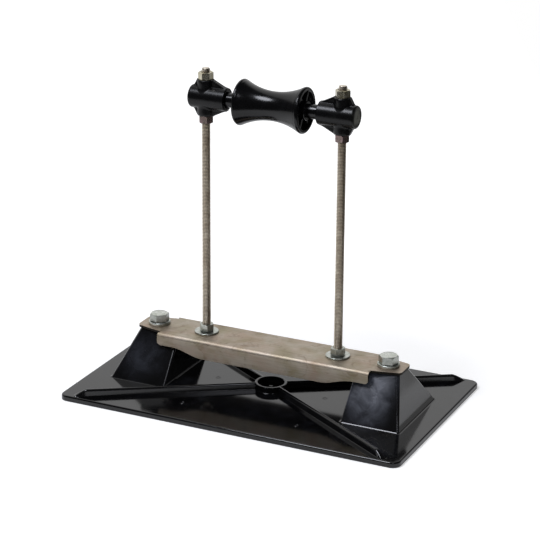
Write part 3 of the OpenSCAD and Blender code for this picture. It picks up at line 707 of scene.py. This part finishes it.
def roundedOutlines(lowX, highX, halfY, radius, height, steps):
    # Rectangles with round corners, one for each height: four quarter circles, joined by straight sides.
    given = (lowX, highX, halfY, radius, height)
    lowX, highX, halfY, radius, height = (np.asarray(v, float).reshape(-1, 1, 1) for v in given)
    turn = (np.linspace(0, math.pi / 2, steps + 1) + np.arange(4)[:, None] * math.pi / 2)[None]
    quarterX, quarterY = np.array([1, 0, 0, 1])[None, :, None], np.array([1, 1, -1, -1])[None, :, None]
    middleX = np.where(quarterX > 0, highX - radius, lowX + radius)
    x = middleX + radius * np.cos(turn)
    y = quarterY * (halfY - radius) + radius * np.sin(turn)
    return np.stack([x, y, height + 0 * x], axis=-1).reshape(len(x), -1, 3)


def quarter(steps):  # sine and one minus cosine of a quarter turn, for fillets and round edges
    turn = np.linspace(0, math.pi / 2, steps + 1)
    return np.sin(turn), 1 - np.cos(turn)


def plateMesh():
    edge, foot = plateShape["edgeRadius"], plateShape["footEdge"]
    sine, drop = quarter(plateShape["edgeSteps"])
    inset = np.concatenate([[foot, 0], edge * drop])
    height = np.concatenate([[0, foot], plateTop - edge + edge * sine])
    return loftMesh("plate", roundedOutlines(baseLow[0] + inset, baseHigh[0] - inset, baseHigh[1] - inset,
                    plateShape["cornerRadius"] - inset, height, plateShape["cornerSteps"]))


def pedestalOutline(side, growX, growY, radius, height):
    # The slanted walls run straight from the foot's outline to the top's, moved out by growX and growY.
    shape = pedestalShape
    boltX = abs(middle(f"{side}_anchor_bolt")[0])
    share = (height - plateTop) / (pedestalTop - plateTop)
    lowX = boltX - (shape["footInner"] + (shape["topInner"] - shape["footInner"]) * share) - growX
    highX = boltX + shape["footOuter"] + (shape["topOuter"] - shape["footOuter"]) * share + growX
    halfY = (shape["footWidth"] + (shape["topWidth"] - shape["footWidth"]) * share) / 2 + growY
    rows = roundedOutlines(lowX, highX, halfY, radius, height, shape["cornerSteps"])
    return rows * np.array([sides[side], 1, 1])


def pedestalMesh(side):
    # Upright edges are rounder at the top than at the foot, and the fillet reaches further at the sides.
    shape = pedestalShape
    sine, drop = quarter(shape["roundSteps"])
    height = np.concatenate([[plateTop / 2], plateTop + sunk + shape["filletHeight"] * drop,
                             pedestalTop - shape["topRound"] + shape["topRound"] * sine])
    flare = np.concatenate([[1], 1 - sine, 0 * drop])
    shrink = np.concatenate([[0], 0 * sine, shape["topRound"] * drop])
    share = (height - plateTop) / (pedestalTop - plateTop)
    radius = shape["footCorner"] + (shape["topCorner"] - shape["footCorner"]) * share - shrink
    return loftMesh("pedestal", pedestalOutline(side, shape["sideFillet"] * flare - shrink,
                                                shape["fillet"] * flare - shrink, radius, height))


def hollowMesh(side):
    inwards, radius = -pedestalShape["wall"], [pedestalShape["hollowRadius"]] * 2
    height = np.array([-1, pedestalTop - pedestalShape["roof"]])  # from just under the plate
    return loftMesh("hollow", pedestalOutline(side, inwards, inwards, radius, height))


def ribMesh(signX, signY):
    # A section with drafted sides, filleted feet and round top edges is carried from the hub to the
    # plate's corner; at the tip its height falls to nothing, h = 1 - (1 - d / slope) ^ power.
    shape = ribShape
    tip = np.array([baseHigh[0] - shape["tipInsetX"], baseHigh[1] - shape["tipInsetY"]])
    reach = np.linalg.norm(tip)
    along = tip / reach * np.array([signX, signY])
    sine, drop = quarter(shape["roundSteps"])
    foot, top = shape["footWidth"] / 2, shape["topWidth"] / 2
    fillet, edge = shape["fillet"], shape["topRound"]
    across = np.concatenate([foot + fillet * (1 - sine), top - edge * drop])
    up = np.concatenate([fillet * drop, shape["height"] - edge + edge * sine])
    across, up = np.concatenate([across, -across[::-1]]), np.concatenate([up, up[::-1]])
    start = hubShape["diameter"] / 2 - hubShape["wall"] / 2
    slope = np.linspace(1, 0, shape["slopeRows"])
    level = np.concatenate([[start], reach - shape["slopeLength"] * slope])
    rise = 1 - np.clip(1 - (reach - level) / shape["slopeLength"], 0, 1) ** shape["tipPower"]
    height = plateTop + sunk + up * rise[:, None]
    below = np.full((len(level), 1), plateTop / 2)
    height = np.hstack([below, height, below])
    across = np.concatenate([across[:1], across, across[-1:]])
    x = level[:, None] * along[0] - across * along[1]
    y = level[:, None] * along[1] + across * along[0]
    return loftMesh("rib", np.stack([x, y, height], axis=-1))


def hubMesh():
    shape = hubShape
    sine, drop = quarter(shape["roundSteps"])
    outer, inner = shape["diameter"] / 2, shape["diameter"] / 2 - shape["wall"]
    edge, fillet, gate = shape["topRound"], shape["fillet"], shape["gateDiameter"] / 2
    floor = plateTop + sunk
    rows = [(0, plateTop / 2), (outer + fillet, plateTop / 2)]
    rows += list(zip(outer + fillet * (1 - sine), floor + fillet * drop))
    rows += list(zip(outer - edge * drop, ribTop - edge + edge * sine))
    rows += list(zip(inner + edge * drop[::-1], ribTop - edge + edge * sine[::-1]))
    rows += list(zip(inner - fillet * (1 - sine[::-1]), floor + fillet * drop[::-1]))
    gateTop, foot, bevel = floor + shape["gateHeight"], shape["gateFoot"], shape["gateBevel"]
    rows += [(gate + foot, floor), (gate, floor + foot), (gate, gateTop - bevel), (gate - bevel, gateTop),
             (0, gateTop - shape["gateDimple"])]
    return turnedMesh("hub", (0, 0), circleAngles(shape["columns"]), rows)


def pinMarkMesh(x, y):  # ring left by an ejector pin: a low rim round a shallow dimple
    shape = pinMarkShape
    outer = shape["diameter"] / 2
    foot, inner = outer + shape["foot"], outer - shape["rim"]
    floor, top = plateTop + sunk, plateTop + shape["height"]
    rows = [(0, plateTop / 2), (foot, plateTop / 2), (foot, floor), (outer - shape["edge"], top),
            (inner, top), (inner - shape["dimpleSlope"], floor), (0, floor)]
    return turnedMesh("pin mark", (x, y), circleAngles(shape["columns"]), rows)


base = newObject("moulded_base_shell", plateMesh())
combine(base, [pedestalMesh(side) for side in sides], "UNION")
combine(base, [hubMesh()] + [ribMesh(x, y) for x in (-1, 1) for y in (-1, 1)], "UNION")
combine(base, [pinMarkMesh(x * sign, y) for x, y in pinMarkShape["places"] for sign in (-1, 1)], "UNION")
for side in sides:
    hole = pedestalShape["boltHole"]
    drill = drillMesh(middle(f"{side}_anchor_bolt"), hole, plateTop, pedestalTop + drillPast)
    combine(base, [hollowMesh(side), drill], "DIFFERENCE")
shadeByAngle(base.data)
flatNormals(base)
dress(base, mouldedBase, "stand", "moulded_base", "base")
print("base ready:", len(base.data.polygons), "faces")


# Cross channel

channelShape = {
    "thickness": channelThickness, "bendRadius": 5, "flangeLength": 254, "flangeDepth": 21.4,
    "endDepth": 13.7, "curveStart": 71, "curveLength": 37, "cornerRadius": 4.5,
    "tabRoot": 42, "tabEnd": 27, "tabCorner": 4.5, "flatShare": 0.72, "relief": 2, "reliefLap": 0.05,
    "rodHole": 5.3625, "boltHole": 6.95, "cutDepth": 12, "edge": 0.3, "edgeSteps": 3, "edgeAngle": 50,
    "middleRows": 10, "curveRows": 20, "endRows": 5, "cornerRows": 10, "flangeColumns": 5, "bendSteps": 8,
    "tabColumns": 21, "tabRows": 9, "holeColumns": 48,
}


def channelSheet():
    # The outer face of the folded sheet: across it runs up a flange, round a bend, over the top and down
    # again; along it the flanges' depth eases from the middle's to the ends'. Each tab is a fan of
    # straight lines from the sheet's end to the tab's rounded outline.
    shape, width, top = channelShape, channelHalf, channelTop
    half, tabTip = shape["flangeLength"] / 2, nodeBox("cross_channel")[1][0]
    bend, corner = shape["bendRadius"], shape["cornerRadius"]
    stops = [np.linspace(0, shape["curveStart"], shape["middleRows"]),
             shape["curveStart"] + shape["curveLength"] * np.linspace(0, 1, shape["curveRows"])[1:],
             np.linspace(shape["curveStart"] + shape["curveLength"], half - corner, shape["endRows"])[1:],
             half - corner + corner * np.sin(np.linspace(0, math.pi / 2, shape["cornerRows"])[1:])]
    right = np.concatenate(stops)
    x = np.concatenate([-right[::-1], right[1:]])
    t = np.clip((np.abs(x) - shape["curveStart"]) / shape["curveLength"], 0, 1)
    depth = shape["flangeDepth"] + (shape["endDepth"] - shape["flangeDepth"]) * t * t * (3 - 2 * t)
    past = np.clip(np.abs(x) - (half - corner), 0, corner)
    depth = depth - corner + np.sqrt(np.maximum(corner ** 2 - past ** 2, 0))
    tabShare = np.sin(np.linspace(-math.pi / 2, math.pi / 2, shape["tabColumns"]))
    flatY = np.concatenate([[bend - width], tabShare * shape["tabRoot"] / 2, [width - bend]])
    turn = np.linspace(0, math.pi / 2, shape["bendSteps"] + 1)
    bendY, bendZ = -width + bend - bend * np.cos(turn), bend * np.sin(turn) - bend
    rise = np.linspace(0, 1, shape["flangeColumns"] + 1)[:-1]
    flangeZ = -depth[:, None] + (depth[:, None] - bend) * rise
    halfY = np.concatenate([np.full(len(rise), -width), bendY[:-1]])
    halfZ = np.hstack([flangeZ, np.tile(bendZ[:-1], (len(x), 1))])
    y = np.concatenate([halfY, flatY, -halfY[::-1]])
    z = top + np.hstack([halfZ, np.zeros((len(x), len(flatY))), halfZ[:, ::-1]])
    sheet = np.stack([x[:, None] + 0 * z, y + 0 * z, z], axis=-1)
    points, faces = [sheet.reshape(-1, 3)], [gridFaces(*z.shape)]
    taper = math.atan2((shape["tabRoot"] - shape["tabEnd"]) / 2, tabTip - half)
    arcX = tabTip - shape["tabCorner"]
    arcY = shape["tabEnd"] / 2 + shape["tabCorner"] * (math.tan(taper) - 1 / math.cos(taper))
    flat = shape["flatShare"]
    swing = np.clip((np.abs(tabShare) - flat) / (1 - flat), 0, 1) * (math.pi / 2 - taper)
    endX = arcX + shape["tabCorner"] * np.cos(swing)
    aside = np.minimum(np.abs(tabShare) / flat, 1) * arcY + shape["tabCorner"] * np.sin(swing)
    endY = np.sign(tabShare) * aside
    step = np.linspace(0, 1, shape["tabRows"])[:, None]
    for sign in (-1, 1):
        tabX = sign * (half + (endX - half) * step)
        tabY = (1 - step) * tabShare * shape["tabRoot"] / 2 + step * endY
        faces.append(gridFaces(*tabX.shape)[:, ::sign] + sum(len(p) for p in points))
        points.append(np.stack([tabX, tabY, top + 0 * tabX], axis=-1).reshape(-1, 3))
    return newMesh("channel", np.vstack(points), np.vstack(faces))


channel = newObject("formed_cross_channel", channelSheet())
if channel.data.polygons[len(channel.data.polygons) // 2].normal.z < 0:
    channel.data.flip_normals()
wall = channel.modifiers.new("sheet thickness", "SOLIDIFY")
wall.thickness, wall.offset, wall.use_even_offset = channelShape["thickness"] * mm, -1, True
applyModifiers(channel)
cuts = []
for side in sides:
    cuts += [(middle(f"{side}_rod"), channelShape["rodHole"]),
             (middle(f"{side}_anchor_bolt"), channelShape["boltHole"])]
    notchX = sides[side] * channelShape["flangeLength"] / 2
    notchY = channelShape["tabRoot"] / 2 + channelShape["relief"] - channelShape["reliefLap"]
    cuts += [((notchX, sign * notchY), channelShape["relief"]) for sign in (-1, 1)]
for centre, radius in cuts:
    punch = drillMesh(centre, radius, channelTop - channelShape["cutDepth"], channelTop + drillPast,
                      channelShape["holeColumns"])
    combine(channel, [punch], "DIFFERENCE")
shadeByAngle(channel.data)
soft = channel.modifiers.new("rolled edges", "BEVEL")
soft.width, soft.segments, soft.limit_method = channelShape["edge"] * mm, channelShape["edgeSteps"], "ANGLE"
soft.angle_limit = math.radians(channelShape["edgeAngle"])
flatNormals(channel)
dress(channel, channelSteel, "stand", "channel_steel", "cross_channel")
print("channel ready")


# Studio

studio = {
    "floorColour": "#f4f4f4", "floorReach": 3.0, "floorFront": 0.6, "floorRight": 0.45, "worldLight": 0.45,
    "floorGlow": (0.33, 0.7), "glowReach": (0.2, 0.45),  # less glow near the object, so that its shadow shows
    "wallTowards": (-0.66, 0.64, 0.40), "wallEdge": (0.66, 0.78),  # white wall at the back and the left
    "sweepTowards": (0.53, 0.85, 0.0), "sweepEdge": (0.93, 1.0),  # and low at the right
    "wallLevel": 0.89, "sweepLevel": 0.66, "roomLevel": 0.05, "mirrorGlow": 0.5,  # floor's glow in mirrors
    "keyColour": "#f2f5ff", "keyPower": 10.0, "keySize": 0.5, "keyAt": (-0.33, -0.50, 1.30),
    "fillPower": 1.4, "fillSize": 0.3, "fillAt": (0.69, -0.81, 1.24), "lampAim": (0, 0, 0.15),
    "floorDrop": 0.00005, "paperRoughness": 0.9,  # the floor lies just under the base
}
camera = {"azimuth": 25.36, "elevation": 20.12, "roll": 0.43, "distance": 2.30619, "aimRight": -0.00212,
          "aimHeight": 0.14424, "lens": 142.385, "sensor": 36.0, "farEnd": 50}


def whiteToEye(path, tree):  # one for what the camera, mirrors and glass see, nothing for other light
    first = maths(tree, "MAXIMUM", path["Is Camera Ray"], path["Is Glossy Ray"])
    return maths(tree, "MAXIMUM", first, path["Is Transmission Ray"])


def paleArea(tree, heading, area):  # bright within a cone about a direction, dim outside its soft edge
    near = vectorMaths(tree, "DOT_PRODUCT", heading, studio[area + "Towards"])
    return ramp(tree, near, *studio[area + "Edge"], studio["roomLevel"], studio[area + "Level"], "SMOOTHSTEP")


world = bpy.data.worlds.new("white studio")
bpy.context.scene.world = world
world.use_nodes = True
tree = world.node_tree
heading = addNode(tree, "ShaderNodeTexCoord")["Generated"]
mirrored = maths(tree, "MAXIMUM", paleArea(tree, heading, "wall"), paleArea(tree, heading, "sweep"))
path = addNode(tree, "ShaderNodeLightPath")
seen = mixLevel(tree, path["Is Camera Ray"], mirrored, 1.0)
level = mixLevel(tree, whiteToEye(path, tree), studio["worldLight"], seen)
feed(tree, tree.nodes["Background"], {"Color": (1, 1, 1, 1), "Strength": level})

# The floor is a rectangle that faces the camera: it runs far to the back and the left, and ends a short
# way in front and to the right, where mirrors meet the dim room.
azimuth, elevation, roll = (math.radians(camera[k]) for k in ("azimuth", "elevation", "roll"))
toEye = np.array([math.sin(azimuth), -math.cos(azimuth), 0])
toRight = np.array([math.cos(azimuth), math.sin(azimuth), 0])
far, front, right = studio["floorReach"], studio["floorFront"], studio["floorRight"]
floorPoints = np.array([ahead * toEye + aside * toRight - (0, 0, studio["floorDrop"]) for ahead, aside in
                        ((front, -far), (front, right), (-far, right), (-far, -far))])
floor = newObject("floor", newMesh("floor", floorPoints / mm, [[0, 1, 2, 3]]))
paper, tree, shader, place = newMaterial("white seamless paper")  # matt, white, keeps the shadow
away = vectorMaths(tree, "LENGTH", place)
lift = ramp(tree, away, *studio["glowReach"], *studio["floorGlow"], "SMOOTHSTEP")
path = addNode(tree, "ShaderNodeLightPath")
share = mixLevel(tree, path["Is Camera Ray"], studio["mirrorGlow"], 1.0)
glow = maths(tree, "MULTIPLY", lift, maths(tree, "MULTIPLY", share, whiteToEye(path, tree)))
feed(tree, shader, {"Base Color": linearColour(studio["floorColour"]), "Roughness": studio["paperRoughness"],
                    "Specular IOR Level": 0.0, "Emission Color": (1, 1, 1, 1), "Emission Strength": glow})
floor.data.materials.append(paper)

for name in ("key", "fill"):  # round lamps that face the object
    lamp = bpy.data.lights.new(name + " softbox", "AREA")
    lamp.energy, lamp.size, lamp.shape = studio[name + "Power"], studio[name + "Size"], "DISK"
    lamp.color = linearColour(studio["keyColour"])[:3]
    holder = newObject(name + " softbox", lamp)
    holder.location = studio[name + "At"]
    shine = Vector(studio["lampAim"]) - holder.location
    holder.rotation_euler = shine.to_track_quat("-Z", "Y").to_euler()

back = Vector((*(toEye[:2] * math.cos(elevation)), math.sin(elevation)))
levelRight = Vector(toRight)
levelUp = back.cross(levelRight)
rightAxis = math.cos(roll) * levelRight + math.sin(roll) * levelUp
upAxis = math.cos(roll) * levelUp - math.sin(roll) * levelRight
aim = Vector((0, 0, camera["aimHeight"])) + camera["aimRight"] * levelRight
lens = bpy.data.cameras.new("camera")
lens.lens, lens.sensor_width, lens.clip_end = camera["lens"], camera["sensor"], camera["farEnd"]
eye = newObject("camera", lens)
eye.matrix_world = Matrix((rightAxis, upAxis, back)).transposed().to_4x4()
eye.location = aim + back * camera["distance"]
bpy.context.scene.camera = eye
bpy.context.scene.view_settings.view_transform = "Standard"
print("studio ready")
